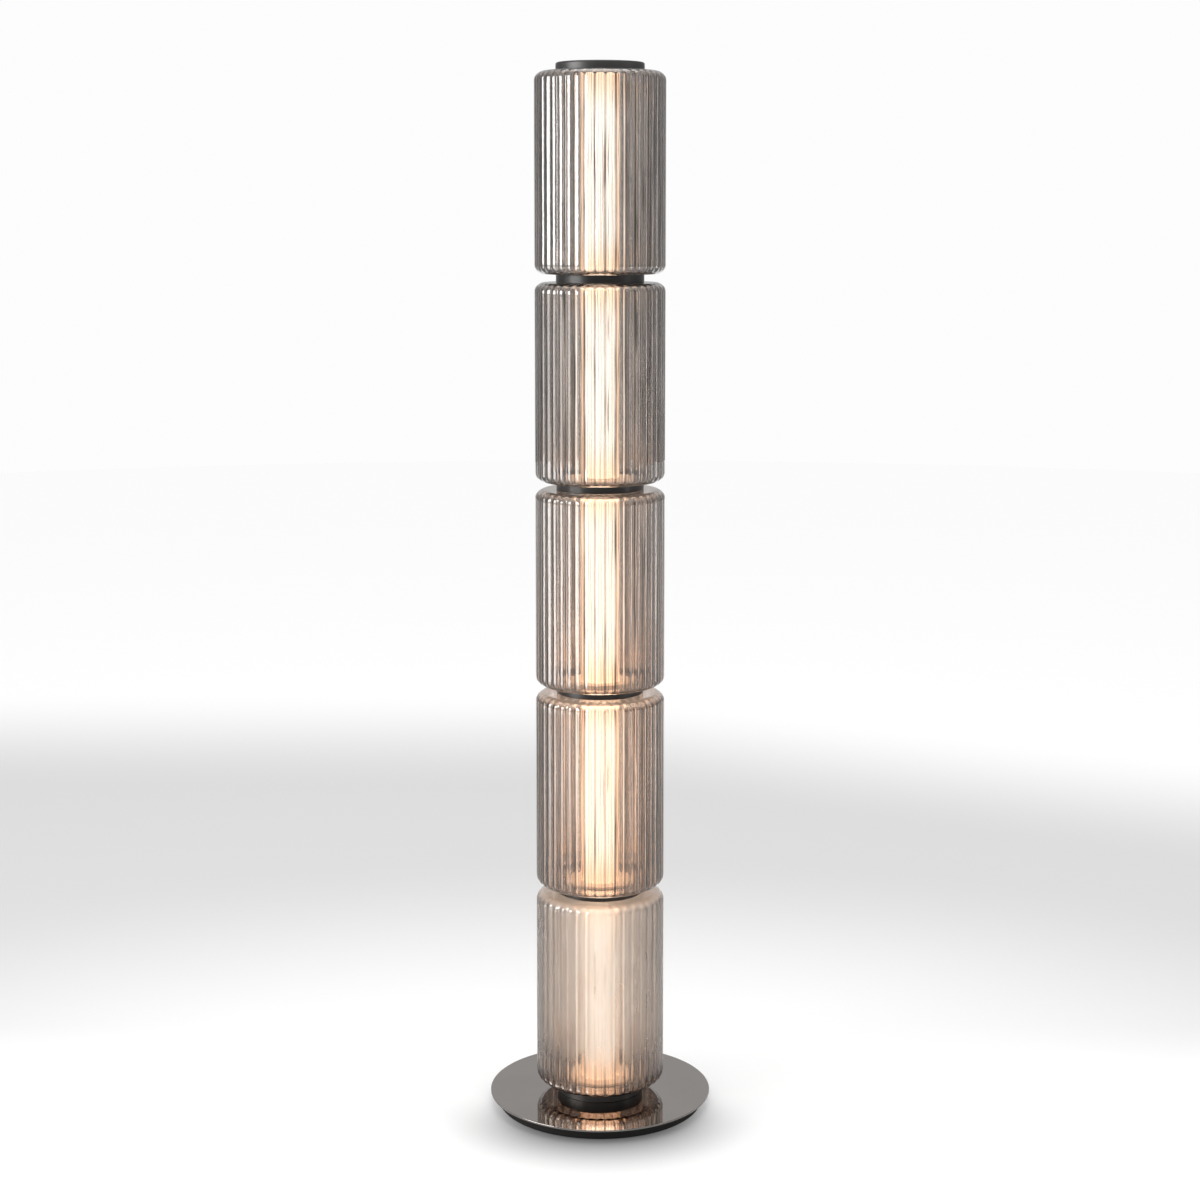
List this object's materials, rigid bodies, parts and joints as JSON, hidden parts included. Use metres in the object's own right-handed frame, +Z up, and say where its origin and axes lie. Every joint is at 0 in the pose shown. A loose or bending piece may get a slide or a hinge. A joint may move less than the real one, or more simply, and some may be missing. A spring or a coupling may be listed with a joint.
{
  "type": "column floor lamp",
  "caption": "Column floor lamp of stacked ribbed smoked-glass shades round a lit opal tube, with black metal collars, a cap and a round polished base.",
  "frame": {"origin": "centre of the base's outline on the floor, on the axis of the column", "axes": "+Z up along the column; the front faces -Y and the cord inlet is at the back, +Y"},
  "size_m": [0.347, 0.347, 1.629],
  "materials": {
    "smoked_glass": "clear smoked glass, fire polished",
    "opal_light": "opal acrylic, lit from inside",
    "satin_black": "satin black anodised",
    "satin_graphite": "satin graphite anodised",
    "dark_mirror": "polished black nickel",
    "painted_iron": "black paint on machined iron",
    "black_sheet_steel": "matt black sheet",
    "plated_steel": "zinc plated",
    "bare_aluminium": "as machined",
    "led_tape": "white tape with yellow phosphor emitters",
    "clear_silicone": "translucent silicone",
    "black_rubber": "matt",
    "foam_pad": "dense foam",
    "driver_case": "moulded"
  },
  "bodies": {
    "root": {"floor_pad": "foam_pad", "cover_screws": "plated_steel", "base_screws": "plated_steel", "lower_nut": "plated_steel", "lower_washer": "plated_steel", "tie_rod": "plated_steel", "upper_washer": "plated_steel", "upper_nut": "plated_steel", "bottom_cover": "black_sheet_steel", "ballast": "painted_iron", "cord_gland": "black_rubber", "led_driver": "driver_case", "feed_cable": "black_rubber", "mirror_disc": "dark_mirror", "base_collar": "satin_black", "glass_shade_1": "smoked_glass", "light_tube_1": "opal_light", "led_core_1": "bare_aluminium", "led_tapes_1": "led_tape", "lower_gasket_1": "clear_silicone", "upper_gasket_1": "clear_silicone", "glass_shade_2": "smoked_glass", "light_tube_2": "opal_light", "led_core_2": "bare_aluminium", "led_tapes_2": "led_tape", "lower_gasket_2": "clear_silicone", "upper_gasket_2": "clear_silicone", "glass_shade_3": "smoked_glass", "light_tube_3": "opal_light", "led_core_3": "bare_aluminium", "led_tapes_3": "led_tape", "lower_gasket_3": "clear_silicone", "upper_gasket_3": "clear_silicone", "glass_shade_4": "smoked_glass", "light_tube_4": "opal_light", "led_core_4": "bare_aluminium", "led_tapes_4": "led_tape", "lower_gasket_4": "clear_silicone", "upper_gasket_4": "clear_silicone", "glass_shade_5": "smoked_glass", "light_tube_5": "opal_light", "led_core_5": "bare_aluminium", "led_tapes_5": "led_tape", "lower_gasket_5": "clear_silicone", "upper_gasket_5": "clear_silicone", "collar_1": "satin_black", "collar_2": "satin_black", "collar_3": "satin_black", "collar_4": "satin_black", "top_plate": "bare_aluminium", "cap_ring": "black_rubber", "top_cap": "satin_graphite"}
  },
  "joints": []
}
